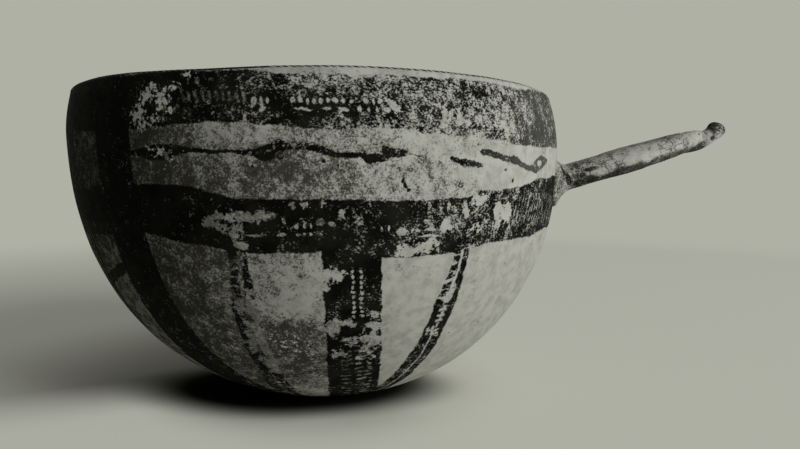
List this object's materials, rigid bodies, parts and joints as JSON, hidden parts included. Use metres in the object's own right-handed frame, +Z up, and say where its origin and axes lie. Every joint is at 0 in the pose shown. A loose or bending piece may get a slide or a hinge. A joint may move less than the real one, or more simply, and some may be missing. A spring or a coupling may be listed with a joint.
{
  "type": "handled bowl",
  "caption": "Hand-built, round-bottomed clay bowl with a wishbone handle, pale slip and dark painted bands, for pouring or drinking.",
  "frame": {"origin": "middle of the small flat that the bowl stands on", "axes": "+Z up through the mouth, +X along the handle from the wall to its tip"},
  "size_m": [0.2747, 0.2, 0.1255],
  "materials": {
    "painted_slip": "pale slip with dark matt painted bands, worn and flaked",
    "handle_slip": "pale slip with traces of dark paint, worn",
    "inside_slip": "plain pale slip, worn"
  },
  "bodies": {
    "root": {"bowl_body": "painted_slip", "handle_arm_front": "handle_slip", "handle_arm_back": "handle_slip", "handle_spur": "handle_slip", "root_fillet_front": "handle_slip", "root_fillet_back": "handle_slip", "tenon_patch_front": "inside_slip", "tenon_patch_back": "inside_slip"}
  },
  "joints": []
}
